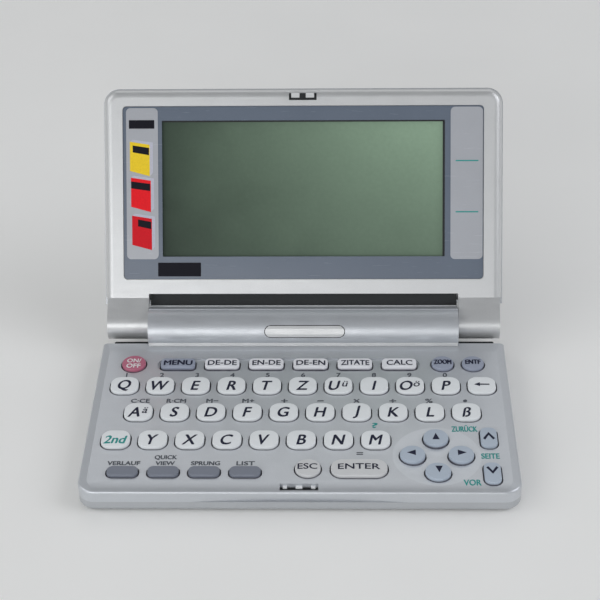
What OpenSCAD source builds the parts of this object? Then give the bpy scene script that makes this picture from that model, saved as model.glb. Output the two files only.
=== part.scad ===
// Pocket electronic dictionary, a clamshell with a keyboard in its base and a display in its lid.
// It stands open, as in use. Millimetres, +Z up, the feet on z = 0 and the hinge axis along X.
// Distances called "d" run from the hinge axis towards the front edge.

/* [Case] */
// Width of the base and the lid
case_w = 127; // [125:0.5:140]
// Hinge axis to the front edge of the base
base_d = 76; // [75.6:0.2:90]
// How far the lid reaches over the base in front
lid_over = 0.3; // [0:0.1:0.5]
// Corner radius of base and lid, seen from above
corner_r = 5; // [4:0.25:6]
// Wall of all the casings
wall = 1.2; // [1:0.1:1.4]
// Thickness of the key deck
deck_t = 1.5; // [1.2:0.1:2]
// Floor of the base
floor_t = 1.5; // [1.3:0.1:2]
// Underside of the base up to the seam between its two halves
seam_h = 3.4; // [3.3:0.1:3.8]
// Rounding of the upper edge of the base
rim_r = 0.9; // [0.5:0.1:1.1]
// Width of the border that falls towards the sides of the base
fall_w = 2.6; // [1.5:0.1:3.5]
// Width of the border that falls towards its front
front_fall_w = 4.5; // [3.5:0.1:4.8]
// How far the borders fall
fall = 0.8; // [0.3:0.1:0.9]
// Rounding of the lower edge of the base
belly_r = 1.6; // [1:0.1:2.2]
// Depth of the thumb scoop in the front edge
scoop_depth = 0.8; // [0.3:0.1:0.9]
// Width of the thumb scoop
scoop_w = 62; // [40:1:80]

/* [Hinge] */
// Angle between deck and lid as it stands
lid_angle = 121.8; // [90:0.1:150]
// Height of the hinge axis over the deck
axis_rise = 1.63; // [1.2:0.01:2]
// Gap between the deck and the face of the closed lid
closed_gap = 1.5; // [1.4:0.05:1.8]
// Shell of the battery barrel round its bay
barrel_wall = 1.45; // [1.2:0.05:1.8]
// Closed end of the barrel, which carries the hinge pin
barrel_end = 3.4; // [2.5:0.1:5]
// Gap beside a knuckle of the lid
knuckle_gap = 0.3; // [0.2:0.05:0.5]
// Radius of the hinge pins
pin_r = 1.5; // [1.2:0.1:1.7]
// Reach of a hinge pin into its knuckle
pin_reach = 7; // [4:0.5:9]
// Running clearance of a pin in the barrel, on the radius
pin_play = 0.05; // [0.02:0.01:0.08]
// Barrel to the crease between the lid's face and a knuckle
crease_in = 2.85; // [2.4:0.05:3.2]
// How far the rear edge of the deck beside the barrel lies inside the barrel's radius
notch_in = 1.5; // [1.2:0.1:1.6]
// Side of the lid's frame to the outer side of a knuckle
knuckle_in = 0.8; // [0.6:0.1:1.8]
// Rounding of a knuckle's nose
nose_r = 4.88; // [4.5:0.02:5]
// Hinge axis to the middle of the nose, along the lid
nose_up = 1.4; // [1:0.1:1.7]
// Crease to the lower edge of the lid's frame over the barrel
frame_in = 1.3; // [1.2:0.1:2.5]
// Barrel to the lower edge of the lid's cover behind it
skirt_gap = 0.8; // [0.6:0.1:1.3]

/* [Batteries] */
// Diameter of a cell
cell_dia = 10.5; // [10.1:0.1:10.8]
// Length of a cell with its nub
cell_l = 44.5; // [43.5:0.1:45]
// Play round a cell
cell_gap = 0.2; // [0.15:0.05:0.4]
// Room for the contact at each end
contact_room = 1.1; // [0.9:0.1:2]
// End of the battery bay to the end of its cover
cover_in = 1.6; // [1.2:0.1:8]

/* [Lid] */
// Frame of the lid, from its face to the seam
frame_t = 3.1; // [2.9:0.1:3.4]
// Rounding of the frame towards the viewer
frame_r = 2.6; // [1.5:0.1:2.8]
// Rounding of the cover's outer edge
cover_r = 3; // [1.5:0.1:3.3]
// How far the cover's rim stands out past the frame
rim_step = 0.3; // [0.1:0.05:0.5]
// Border between the window and the sides of the case
border_w = 6.3; // [5.5:0.1:8]
// Window's lower edge, from the axis
window_low = 15.7; // [14.5:0.1:18]
// Border between the window and the far edge of the lid
border_top = 5.7; // [5:0.1:7]
// Corner radius of the window
window_r = 1.2; // [0.8:0.1:3]
// Thickness of the window
window_t = 1; // [0.8:0.1:1.2]
// How far the window lies under the frame's face
window_sink = 0.35; // [0.1:0.05:0.5]
// Ledge under the window's edge
ledge_w = 1.6; // [1:0.1:2.5]
// Side of the window to the display glass
glass_side = 9.7; // [4:0.1:20]
// Lower and upper edge of the window to the display glass
glass_edge = 4.45; // [3.5:0.05:8]
// Display glass, thickness
glass_t = 1.7; // [1.4:0.1:2]
// How far the display glass lies above the window's middle
glass_up = 1.15; // [0:0.05:1.5]
// Driver board behind the glass, thickness
driver_t = 0.8; // [0.6:0.1:1]

/* [Latch] */
// Front edge of the base to the latch
latch_in = 1.9; // [1.8:0.1:2.1]
// Width of the slot in the deck
slot_w = 11; // [9.5:0.5:14]
// Width of the pocket in the lid's frame
pocket_w = 8.8; // [8.5:0.1:12]
// Slot and pocket, front to back
slot_d = 2.3; // [1.8:0.1:2.4]
// Width of one hook
hook_w = 2.6; // [2:0.1:3]
// Thickness of a hook
hook_t = 1; // [0.8:0.1:1.2]
// Distance between the hooks
hook_pitch = 4.6; // [3.6:0.1:5]
// How far a hook stands out of the lid's face
hook_h = 2.2; // [1.6:0.1:2.6]

/* [Keys] */
// Space between neighbouring letter keys
key_space = 2.42; // [2.3:0.02:3.5]
// Letter key, front to back
letter_d = 7.8; // [6.8:0.1:8.5]
// Letter key, corner radius
letter_r = 3; // [1.5:0.1:3.2]
// Upper bar key, front to back
bar_d = 4.6; // [4:0.1:5]
// Space between neighbouring bar keys
bar_space = 3.07; // [2.6:0.01:4]
// Diameter of the power key
power_dia = 7.4; // [6.5:0.1:7.6]
// Diameter of the two small round keys
small_dia = 6.8; // [6:0.1:6.9]
// Distance between the two small round keys
small_pitch = 9.4; // [9.2:0.1:9.6]
// Diameter of the escape key
esc_dia = 7.4; // [6.5:0.1:7.6]
// Length of the enter key, in letter columns
enter_columns = 1.49; // [1.29:0.05:1.49]
// Space between neighbouring shortcut caps
oval_space = 2.77; // [2.3:0.01:4]
// Shortcut cap, front to back
oval_d = 4.2; // [3.6:0.1:4.6]
// How much wider than a letter column a shortcut cap's is
oval_wider = 0.85; // [0.6:0.01:1]
// Diameter of an arrow key
arrow_dia = 7.4; // [6.5:0.1:7.5]
// Centre of the arrow cross to an arrow key, sideways
arrow_dx = 7.05; // [6.5:0.05:7.1]
// Width of a page key
page_w = 4.9; // [4.3:0.1:5]
// Page key, front to back
page_d = 8.8; // [7.6:0.1:9]
// How far the keys stand over the deck
key_rise = 1.1; // [0.7:0.05:1.2]
// Crown of a key, from its edge to its middle
key_crown = 0.35; // [0.2:0.05:0.5]
// Rounding of a key's upper edge
key_edge = 0.6; // [0.3:0.05:0.7]
// Travel of a key
key_travel = 0.7; // [0.4:0.05:0.8]
// Play between a key and its hole
key_gap = 0.4; // [0.25:0.05:0.45]
// Width of the collar that holds a key under the deck
collar_w = 0.4; // [0.3:0.05:0.45]
// Thickness of the collar
collar_t = 0.8; // [0.6:0.1:1]

/* [Key places] */
// Hinge axis to the row of function keys
key_back = 17.2; // [17:0.1:18]
// Row of shortcut caps to the front edge of the base
key_front = 7.6; // [7.2:0.1:8.2]
// How much closer than a letter row the function keys stand
row1_closer = 1.8; // [1.2:0.1:2]
// How much further than a letter row the shortcut caps stand
oval_further = 1.4; // [1:0.1:2]
// Escape and enter to the row of shortcut caps
enter_back = 1.5; // [1.5:0.1:3]
// Upper arrow key to the third letter row
arrow_back = 0.8; // [0:0.1:1.5]
// How much further apart than the outer arrow keys the page keys stand
page_more = 0.7; // [0:0.1:0.8]
// Left side of the case to the first letter column
column_left = 9.2; // [8.5:0.1:10]
// Right side of the case to the last letter column
column_right = 8.6; // [8:0.1:10]
// Left side of the case to the power key
power_in = 11; // [9.5:0.1:12]
// Space beside the row of bar keys
bar_gap = 4.7; // [3.5:0.1:6]
// Right side of the case to the outer small round key
small_in = 10.6; // [9:0.1:12]
// Left side of the case to the first shortcut cap
oval_in = 12.59; // [11:0.01:13]
// Right side of the case to the centre of the arrow cross
cross_in = 23.75; // [23.5:0.05:24.5]
// Space between enter and the arrow keys
enter_gap = 3.7; // [3:0.1:4.5]
// Space between escape and enter
esc_gap = 2.9; // [2.3:0.1:3.5]
// Right side of the case to the page keys
page_in = 8.25; // [7.5:0.05:8.4]

/* [Inside] */
// Room under the circuit board
board_room = 1.1; // [1:0.1:1.4]
// Thickness of the circuit board
board_t = 0.8; // [0.6:0.1:1]
// Thickness of the rubber mat
mat_t = 1; // [0.8:0.1:1.2]
// Play between parts that lie on each other
rest_gap = 0.1; // [0.05:0.05:0.15]
// Radius of a rubber dome under a key
dome_r = 1.5; // [1:0.1:1.6]
// Radius of a screw's shank
screw_r = 0.8; // [0.6:0.05:1]
// Radius of a screw's head
head_r = 1.7; // [1.4:0.1:1.9]
// Radius of a screw boss
boss_r = 2.2; // [1.9:0.1:2.3]
// Radius of a rubber foot
foot_r = 2.2; // [1.6:0.1:2.3]
// How far the feet stand out
foot_rise = 0.4; // [0.3:0.05:0.8]
// How deep the feet sit in the floor
foot_seat = 0.5; // [0.3:0.05:0.8]

/* [Hidden] */
$fn = 64;
over = 1;                                   // how far a cutting tool runs past what it cuts
seam_play = 0.1;                            // play of the tongue along a seam
tongue_t = 0.6;                             // thickness of the tongue along a seam
tongue_h = 0.8;                             // height of the tongue along a seam
touch = 0.05;                               // how far pieces of one solid run into each other
grazing = 0.02;                             // keeps a flat from running exactly tangent to a cylinder

// Heights, from the table up
under_z = foot_rise;
floor_z = under_z + floor_t;
board_z = floor_z + board_room;
mat_z = board_z + board_t + rest_gap;
mat_top = mat_z + mat_t;
collar_z = mat_top + key_travel + rest_gap;
collar_top = collar_z + collar_t;
deck_under = collar_top + 2 * rest_gap;
deck_z = deck_under + deck_t;
key_z = deck_z + key_rise;
seam_z = under_z + seam_h;
axis_z = deck_z + axis_rise;

// The barrel and the knuckles share one radius
bay_r = cell_dia / 2 + cell_gap;
barrel_r = bay_r + barrel_wall;
bay_half = cell_l + contact_room;
barrel_half = bay_half + barrel_end;
knuckle_x = barrel_half + knuckle_gap;
pin_l = barrel_end + knuckle_gap + pin_reach - rest_gap;

notch_d = barrel_r - notch_in;
crease_d = barrel_r + crease_in;
frame_d = crease_d + frame_in;
skirt_d = barrel_r + skirt_gap;

// The lid is drawn closed, with the hinge axis at the origin, and turned open afterwards
lid_d = base_d + lid_over;
face_n = closed_gap - axis_rise;
lid_seam_n = face_n + frame_t;
back_n = barrel_r - grazing;
window_w = case_w - 2 * border_w;
window_high = lid_d - border_top;
window_h = window_high - window_low;
window_mid = (window_high + window_low) / 2;
glass_w = window_w - 2 * glass_side;
glass_h = window_h - 2 * glass_edge;
glass_d = window_mid + glass_up;
latch_d = base_d - latch_in;
window_n = face_n + window_sink;
seat_n = window_n + window_t;
glass_n = seat_n + rest_gap;
driver_n = glass_n + glass_t;
driver_in = 2.4;                            // the driver board's edge, inside the window's edge
tongue_in = wall + rim_step + seam_play;
frame_half = case_w / 2 - rim_step;
frame_reach = lid_d - rim_step;
pocket_d = latch_d - 0.5;                   // the pocket lies a little inside the hooks
pocket_t = 1;
barb_t = 0.6;                               // barb at a hook's end

// Furthest back that the open lid reaches, which centres the model on its own footprint
lid_back = -(lid_d - cover_r) * cos(lid_angle) + (back_n - cover_r) * sin(lid_angle) + cover_r;
axis_y = (base_d - lid_back) / 2;

// Tail of the base under the barrel
tail_y = 1.5;
tail_turn = -30;                            // where the tail's slope runs into the barrel
slope_d = notch_d + 4.6;                    // the deck falls off behind this line
slope_drop = 0.4;
parting_turn = 95;                          // where the parting line runs along the barrel's top
parting_r = 0.3;

// A knuckle's ramp runs from the crease to its nose, a little past the tangent
nose_n = back_n - nose_r + grazing;
nose_to_crease = [nose_up - crease_d, face_n - nose_n];
ramp_turn = atan2(nose_to_crease.y, nose_to_crease.x) + acos(nose_r / norm(nose_to_crease)) - 1;
cover_half = bay_half - cover_in;
cover_cells = 4;                            // hollows under the cells, between the cover's ribs
cell_step = (2 * cover_half - wall) / cover_cells;
door_front = -bay_r - 0.5;                  // front edge of the battery cover
door_top = axis_z - 1.9;                    // upper edge of the battery cover, at the back
door_gap = 0.15;
grip_n = 3;                                 // grip grooves each side of the middle
grip_pitch = 1.6;
grip_w = 0.8;
grip_t = 0.25;
grip_in = 1.4;                              // from the flat's edges

// Inside of the base
back_gap = 0.95;                            // barrel to the wall in front of it
inner_half = case_w / 2 - wall;
inner_front = base_d - wall;
inner_back = barrel_r + wall + back_gap;
board_gap = 0.4;
mat_edge = tongue_t + seam_play + board_gap;

// Cell nubs, contact plates and chips
nub_l = 1;
nub_r = 2;
contact_t = 0.5;
contact_x = bay_half - contact_room / 2;
plate_r = bay_r - 0.9;
leg_foot = 1;                               // how far a leg lies on the board
leg_w = 1.2;
leg_h = 1.3;
leg_end = 1.4;                              // end of a leg, from the axis
chip_r = 0.6;
CHIPS = [[-30, 36, 13, 13], [-8, 34, 9, 12], [24, 38, 7, 7]];    // x, distance, width, length

// Screws, from the underside up
head_z = under_z + 0.2;
head_top = floor_z - 0.4;
screw_top = deck_under - 0.4;
boss_z = board_z + board_t + rest_gap / 2;

// Rows of keys, from the axis, and columns, from the middle
row_pitch = (base_d - key_back - key_front + row1_closer - oval_further) / 4;
row1_d = key_back;
row2_d = row1_d + row_pitch - row1_closer;
row3_d = row2_d + row_pitch;
row4_d = row3_d + row_pitch;
oval_row_d = row4_d + row_pitch + oval_further;
row5_d = oval_row_d - enter_back;
arrow_dy = (oval_row_d - row4_d + arrow_back) / 2;
cross_d = oval_row_d - arrow_dy;
page_d_pitch = 2 * arrow_dy + page_more;
half_w = case_w / 2;
first_x = column_left - half_w;
key_pitch = (case_w - column_left - column_right) / 10;
letter_w = key_pitch - key_space;
power_x = power_in - half_w;
small_x = half_w - small_in;
bars_left = power_x + power_dia / 2 + bar_gap;
bars_right = small_x - small_pitch - small_dia / 2 - bar_gap;
bar_pitch = (bars_right - bars_left + bar_space) / 6;
bar_w = bar_pitch - bar_space;
oval_pitch = key_pitch + oval_wider;
oval_w = oval_pitch - oval_space;
cross_x = half_w - cross_in;
cross_left = cross_x - arrow_dx - arrow_dia / 2;
enter_w = enter_columns * key_pitch;
enter_x = cross_left - enter_gap - enter_w / 2;
esc_x = enter_x - enter_w / 2 - esc_gap - esc_dia / 2;
page_x = half_w - page_in;

// Shallow forms of the deck
channel_t = 0.4;
channel_in = 1;                             // the channel's edge beyond the bar keys
channel_d = bar_d + 2 * channel_in;
dish_r = arrow_dy + arrow_dia / 2 + 1.6;
dish_t = 0.45;
dish_ball = (dish_r * dish_r + dish_t * dish_t) / (2 * dish_t);
front_arc = (front_fall_w * front_fall_w + fall * fall) / (2 * fall);
scoop_z = seam_z;
scoop_h = deck_z - fall - rim_r - 0.2 - scoop_z;
scoop_ball = (scoop_w * scoop_w / 4 + scoop_depth * scoop_depth) / (2 * scoop_depth);
page_mid_d = cross_d + 0.2;

// Caps: width, front to back, corner radius
CAPS = [
    ["letter", [letter_w, letter_d, letter_r]],
    ["bar", [bar_w, bar_d, bar_d * 0.3]],
    ["power", [power_dia, power_dia, power_dia / 2]],
    ["small", [small_dia, small_dia, small_dia / 2]],
    ["escape", [esc_dia, esc_dia, esc_dia / 2]],
    ["enter", [enter_w, esc_dia, esc_dia * 0.45]],
    ["arrow", [arrow_dia, arrow_dia, arrow_dia / 2]],
    ["page", [page_w, page_d, page_w / 2 - key_gap]],
    ["oval", [oval_w, oval_d, oval_d / 2 - key_gap]],
];

// Keys: name, kind of cap, x, distance from the axis
BARS = ["menu", "f1", "f2", "f3", "f4", "calc"];
ROW2 = ["q", "w", "e", "r", "t", "z", "u", "i", "o", "p", "backspace"];
ROW3 = ["a", "s", "d", "f", "g", "h", "j", "k", "l", "eszett"];
ROW4 = ["second", "y", "x", "c", "v", "b", "n", "m"];
KEYS = concat(
    [["key_power", "power", power_x, row1_d]],
    [for (i = [0 : len(BARS) - 1]) [str("key_", BARS[i]), "bar", bars_left + bar_w / 2 + i * bar_pitch, row1_d]],
    [["key_zoom", "small", small_x - small_pitch, row1_d], ["key_delete", "small", small_x, row1_d]],
    [for (i = [0 : len(ROW2) - 1]) [str("key_", ROW2[i]), "letter", first_x + i * key_pitch, row2_d]],
    [for (i = [0 : len(ROW3) - 1]) [str("key_", ROW3[i]), "letter", first_x + (i + 0.5) * key_pitch, row3_d]],
    [for (i = [0 : len(ROW4) - 1]) [str("key_", ROW4[i]), "letter", first_x + i * key_pitch, row4_d]],
    [["key_escape", "escape", esc_x, row5_d], ["key_enter", "enter", enter_x, row5_d]],
    [["key_up", "arrow", cross_x, cross_d - arrow_dy], ["key_down", "arrow", cross_x, cross_d + arrow_dy]],
    [["key_left", "arrow", cross_x - arrow_dx, cross_d], ["key_right", "arrow", cross_x + arrow_dx, cross_d]],
    [["key_page_up", "page", page_x, page_mid_d - page_d_pitch / 2]],
    [["key_page_down", "page", page_x, page_mid_d + page_d_pitch / 2]]
);
OVALS = [for (i = [0 : 3]) oval_in - half_w + i * oval_pitch];
CASES = ["base_top_case", "base_bottom_case", "battery_cover", "batteries", "keypad_mat", "main_board",
    "base_screws", "rubber_feet", "hinge_pins", "lid_frame", "lid_cover", "display_window", "display_panel"];

// Screws: x and distance from the axis, in the spaces that the keys leave
boss_gap = 0.4;                             // boss to wall
screw_x = inner_half - mat_edge - boss_r;
screw_back = inner_back + boss_r + 2.2;
esc_left = esc_x - esc_dia / 2;
oval_right = OVALS[3] + oval_w / 2;
enter_right = enter_x + enter_w / 2;
SCREWS = [
    [-screw_x, screw_back], [screw_x, screw_back],
    [-screw_x, row3_d], [screw_x, row3_d],
    [(esc_left + oval_right) / 2, row5_d - 1],
    [(enter_right + cross_left) / 2 + 0.8, inner_front - boss_r - 2 * boss_gap],
];
rear_foot_x = (cover_half + barrel_half) / 2;
rear_foot_d = 1.2;
front_foot_x = inner_half - foot_r - 3;
front_foot_d = base_d - 9;
FEET = [for (side = [-1, 1]) each [[side * rear_foot_x, rear_foot_d], [side * front_foot_x, front_foot_d]]];

function cap(kind) = CAPS[search([kind], CAPS)[0]][1];
function grown(c, by) = [c.x + 2 * by, c.y + 2 * by, c.z + by];
function ball(c, rise) = (pow(norm([c.x, c.y]) / 2, 2) + rise * rise) / (2 * rise);

// Upright section of an edge: straight inside, rounded at the top and the bottom outside, with a border that falls
module edge_section(reach, h, top, bottom, wide = 1, drop = 0) {
    tilt = atan(drop / wide);
    far = top + over;
    difference() {
        square([reach, h]);
        if (drop > 0) translate([reach - wide, h])
            polygon([[0, 0], [wide + over, -(wide + over) * tan(tilt)], [wide + over, over], [0, over]]);
        if (top > 0) translate([reach - top, h - drop + top * (tan(tilt) - 1 / cos(tilt))]) difference() {
            polygon([[0, 0], [far, 0], [far, far], [far * sin(tilt), far * cos(tilt)]]);
            circle(top);
        }
        if (bottom > 0) translate([reach - bottom, bottom]) mirror([0, 1]) difference() {
            square(bottom + over);
            circle(bottom);
        }
    }
}

// Rectangle with rounded corners, centred
module rounded(w, d, r) {
    if (w - 2 * r <= 0.01 && d - 2 * r <= 0.01) circle(r);
    else {
        if (w > 2 * r) square([w - 2 * r, d], center = true);
        if (d > 2 * r) square([w, d - 2 * r], center = true);
        for (side = [-1, 1], end = [-1, 1])
            translate([side * (w / 2 - r), end * (d / 2 - r)]) circle(r);
    }
}

// Slab with rounded corners and softened edges, centred on x and y, standing on z = 0
module slab(w, d, h, r, top = 0, bottom = 0, wide = 1, drop = 0) {
    long = [w - 2 * r, d - 2 * r];
    if (top == 0 && bottom == 0) linear_extrude(h) rounded(w, d, r);
    else if (long.x <= 0.01 && long.y <= 0.01) rotate_extrude() edge_section(r, h, top, bottom, wide, drop);
    else for (turn = [0 : 3]) {
        here = turn % 2 == 0 ? long : [long.y, long.x];
        rotate(90 * turn) translate([here.x / 2, here.y / 2, 0]) {
            rotate_extrude(angle = 90) edge_section(r, h, top, bottom, wide, drop);
            if (here.y > 0.01) rotate([90, 0, 0]) linear_extrude(here.y) edge_section(r, h, top, bottom, wide, drop);
        }
    }
    if ((top > 0 || bottom > 0) && long.x > 0.01 && long.y > 0.01)
        translate([-long.x / 2, -long.y / 2, 0]) cube([long.x, long.y, h]);
}

module block(x0, x1, y0, y1, z0, z1) {
    translate([x0, y0, z0]) cube([x1 - x0, y1 - y0, z1 - z0]);
}

// Bar along x with its section drawn in y and z
module along_x(x0, x1) {
    translate([x0, 0, 0]) rotate([90, 0, 90]) linear_extrude(x1 - x0) children();
}

module mirrored() {
    children();
    mirror([1, 0, 0]) children();
}

// The base is drawn with the hinge axis over y = 0
module on_base() {
    translate([0, axis_y, 0]) children();
}

// The lid is drawn closed round the hinge axis: y = -distance, z = towards its back
module on_lid() {
    translate([0, axis_y, axis_z]) rotate([-lid_angle, 0, 0]) children();
}

// Plan of the base's trough: rounded in front, cut off square at the back
module trough(inset, back, z0, z1, bottom = 0) {
    half = case_w / 2 - inset;
    front = base_d - inset;
    r = corner_r - inset;
    intersection() {
        translate([0, -front / 2 + r, z0]) slab(2 * half, front + 2 * r, z1 - z0, r, 0, bottom);
        block(-half - over, half + over, -front - over, -back, z0 - over, z1 + over);
    }
}

// Section of barrel and tail, which the two halves of the base and the battery cover share
module barrel_section() {
    translate([0, axis_z]) circle(barrel_r);
    polygon([
        [-slope_d, under_z], [tail_y, under_z],
        [barrel_r * cos(tail_turn), axis_z + barrel_r * sin(tail_turn)],
        [0, axis_z], [-slope_d, deck_z - slope_drop - over],
    ]);
}

module base_outside() {
    difference() {
        translate([0, -base_d / 2 + corner_r, under_z])
            slab(case_w, base_d + 2 * corner_r, deck_z - under_z, corner_r, rim_r, belly_r, fall_w, fall);
        block(-case_w, case_w, -notch_d, base_d, 0, 2 * deck_z);
        // fall of the deck towards the barrel
        along_x(-case_w, case_w) polygon([
            [-slope_d, deck_z], [-slope_d, deck_z + over], [0, deck_z + over],
            [0, deck_z - slope_drop * slope_d / (slope_d - notch_d)],
        ]);
        // rounded fall towards the front
        along_x(-case_w, case_w) difference() {
            translate([-base_d - over, deck_z - 2 * fall]) square([front_fall_w + over, 2 * fall + over]);
            translate([-base_d + front_fall_w, deck_z - front_arc]) circle(front_arc, $fn = 360);
        }
        // thumb scoop
        translate([0, -base_d - scoop_ball + scoop_depth, scoop_z])
            cylinder(r = scoop_ball, h = scoop_h, $fn = 360);
    }
    difference() {
        along_x(-barrel_half, barrel_half) barrel_section();
        along_x(-barrel_half - over, barrel_half + over)
            translate([-barrel_r * cos(parting_turn), axis_z + barrel_r * sin(parting_turn)]) circle(parting_r);
    }
}

module bay() {
    translate([0, 0, axis_z]) rotate([0, 90, 0]) cylinder(r = bay_r, h = 2 * bay_half, center = true);
}

// The battery cover's share of the barrel; grow widens it to the hole that takes it
module door_region(grow) {
    block(-cover_half - grow, cover_half + grow, door_front - grow, barrel_r + over, 0, door_top + grow);
}

module key_holes() {
    for (k = KEYS) {
        hole = grown(cap(k[1]), key_gap);
        translate([k[2], -k[3], deck_under - over]) slab(hole.x, hole.y, deck_t + 2 * over, hole.z);
    }
    hole = grown(cap("oval"), key_gap);
    for (x = OVALS) translate([x, -oval_row_d, deck_under - over]) slab(hole.x, hole.y, deck_t + 2 * over, hole.z);
}

module base_top_case() on_base() color("silver") {
    difference() {
        base_outside();
        block(-case_w, case_w, -base_d - over, barrel_r + over, 0, seam_z);
        trough(wall, inner_back, 0, deck_under);
        bay();
        door_region(door_gap);
        key_holes();
        // channel of the bar keys, between its two rounded ends
        translate([(bars_left + bars_right) / 2, -row1_d, deck_z - channel_t])
            slab(bars_right - bars_left + 2 * channel_in, channel_d, over, channel_d / 2 - 0.2);
        translate([cross_x, -cross_d, deck_z - dish_t + dish_ball]) sphere(dish_ball, $fn = 180);
        block(-slot_w / 2, slot_w / 2, -latch_d - slot_d / 2, -latch_d + slot_d / 2, deck_under - over, deck_z + over);
        rotate([0, 90, 0]) translate([-axis_z, 0, 0])
            cylinder(r = pin_r + pin_play, h = 2 * (barrel_half + over), center = true);
        mirrored() contact_leg(seam_play);
    }
    for (s = SCREWS) translate([s.x, -s.y, boss_z]) difference() {
        cylinder(r = boss_r, h = deck_under + touch - boss_z);
        translate([0, 0, -over]) cylinder(r = screw_r, h = over + deck_under - rest_gap - boss_z);
    }
}

module base_bottom_case() on_base() color("silver") {
    difference() {
        union() {
            difference() {
                base_outside();
                block(-case_w, case_w, -base_d - over, 2 * barrel_r, seam_z, 2 * axis_z);
                trough(wall, inner_back, floor_z, axis_z, belly_r - wall);
            }
            // tongue inside the upper half
            difference() {
                trough(wall + seam_play, inner_back + seam_play, floor_z, seam_z + tongue_h, belly_r - wall);
                trough(wall + seam_play + tongue_t, -over, floor_z - over, axis_z);
                block(-case_w, case_w, -inner_back - tongue_t, 0, 0, axis_z);
            }
            for (s = SCREWS) translate([s.x, -s.y, under_z + foot_seat])
                cylinder(r = boss_r, h = board_z - under_z - foot_seat - rest_gap / 2);
        }
        door_region(door_gap);
        bay();
        mirrored() contact_leg(seam_play);
        for (s = SCREWS) translate([s.x, -s.y, 0]) {
            cylinder(r = screw_r + pin_play, h = board_z + over);
            cylinder(r = head_r + seam_play, h = head_top);
        }
        for (f = FEET) translate([f.x, -f.y, 0]) cylinder(r = foot_r + pin_play, h = under_z + foot_seat);
    }
}

module battery_cover() on_base() color("silver") difference() {
    intersection() {
        along_x(-cover_half, cover_half) barrel_section();
        door_region(0);
    }
    bay();
    for (i = [0 : cover_cells - 1]) translate([i * cell_step - cover_half + wall, 0, 0])
        block(0, cell_step - wall, door_front + wall, tail_y, floor_z, axis_z);
    // grip ribs
    for (i = [-grip_n : grip_n]) block(i * grip_pitch - grip_w / 2, i * grip_pitch + grip_w / 2,
        door_front + grip_in, tail_y - grip_in, 0, under_z + grip_t);
}

module batteries() on_base() color("goldenrod") for (x = [-cell_l, 0])
    translate([x, 0, axis_z]) rotate([0, 90, 0]) {
        cylinder(r = cell_dia / 2, h = cell_l - nub_l);
        cylinder(r = nub_r, h = cell_l - touch);
    }

// A soldered leg from the board's rear edge into the bay, with the cell's contact plate on it
module contact_leg(grow) {
    block(contact_x - contact_t / 2 - grow, contact_x + contact_t / 2 + grow, -inner_back - board_gap - leg_foot - grow,
        -leg_end + grow, board_z + board_t - touch - grow, board_z + board_t + leg_h + grow);
}

module main_board() on_base() color("seagreen") {
    difference() {
        trough(wall + mat_edge, inner_back + board_gap, board_z, board_z + board_t);
        for (s = SCREWS) translate([s.x, -s.y, board_z - over]) cylinder(r = screw_r + board_gap, h = board_t + 2 * over);
    }
    // processor, memory and power chips on the underside
    for (chip = CHIPS)
        translate([chip[0], -chip[1], board_z - board_room + rest_gap])
            slab(chip[2], chip[3], board_room - rest_gap + touch, chip_r);
    mirrored() {
        contact_leg(0);
        translate([contact_x, 0, axis_z]) rotate([0, 90, 0]) cylinder(r = plate_r, h = contact_t, center = true);
        block(contact_x - contact_t / 2, contact_x + contact_t / 2, -leg_end - leg_w, -leg_end, board_z + board_t, axis_z);
    }
}

module dome_under(x, d) {
    translate([x, -d, mat_top - touch]) cylinder(r1 = dome_r, r2 = dome_r * 0.7, h = key_travel + touch);
}

module keypad_mat() on_base() color("gainsboro") {
    difference() {
        trough(wall + mat_edge, inner_back + mat_edge, mat_z, mat_top);
        for (s = SCREWS) translate([s.x, -s.y, mat_z - over]) cylinder(r = boss_r + board_gap, h = mat_t + 2 * over);
    }
    for (k = KEYS) dome_under(k[2], k[3]);
    for (x = OVALS) dome_under(x, oval_row_d);
}

module base_screws() on_base() color("dimgray") for (s = SCREWS) translate([s.x, -s.y, 0]) {
    translate([0, 0, head_z]) cylinder(r = head_r, h = head_top - head_z);
    translate([0, 0, head_z]) cylinder(r = screw_r - pin_play / 2, h = screw_top - head_z);
}

module rubber_feet() on_base() color("dimgray") for (f = FEET)
    translate([f.x, -f.y, 0]) cylinder(r = foot_r, h = foot_rise + foot_seat);

module hinge_pins() on_base() color("gray") mirrored()
    translate([bay_half + rest_gap, 0, axis_z]) rotate([0, 90, 0]) cylinder(r = pin_r, h = pin_l);

// Outline of a lid shell, from n0 to n1 towards its back
module lid_shell(inset, low, n0, n1, top, bottom) {
    half = case_w / 2 - inset;
    reach = lid_d - inset;
    r = corner_r - inset;
    intersection() {
        translate([0, -reach / 2 + r, n0]) slab(2 * half, reach + 2 * r, n1 - n0, r, top, bottom);
        block(-half - over, half + over, -reach - over, -low, n0 - over, n1 + over);
    }
}

// Section of a knuckle: its round nose, the ramp to the crease and the flat up to the cover
module knuckle_section() {
    translate([-nose_up, nose_n]) circle(nose_r);
    polygon([
        [-nose_up, back_n], [-skirt_d + seam_play, back_n], [-skirt_d + seam_play, lid_seam_n],
        [-crease_d - touch, lid_seam_n], [-crease_d - touch, face_n], [-crease_d, face_n],
        [nose_r * cos(ramp_turn) - nose_up, nose_n + nose_r * sin(ramp_turn)], [-nose_up, nose_n],
    ]);
}

module hooks() {
    for (side = [-1, 1]) translate([side * hook_pitch / 2, 0, 0]) {
        block(-hook_w / 2, hook_w / 2, -latch_d - hook_t / 2, -latch_d + hook_t / 2, face_n - hook_h, face_n + frame_t / 2);
        block(-hook_w / 2, hook_w / 2, -latch_d - hook_t / 2, -latch_d + hook_t, face_n - hook_h, face_n - hook_h + barb_t);
    }
}

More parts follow.
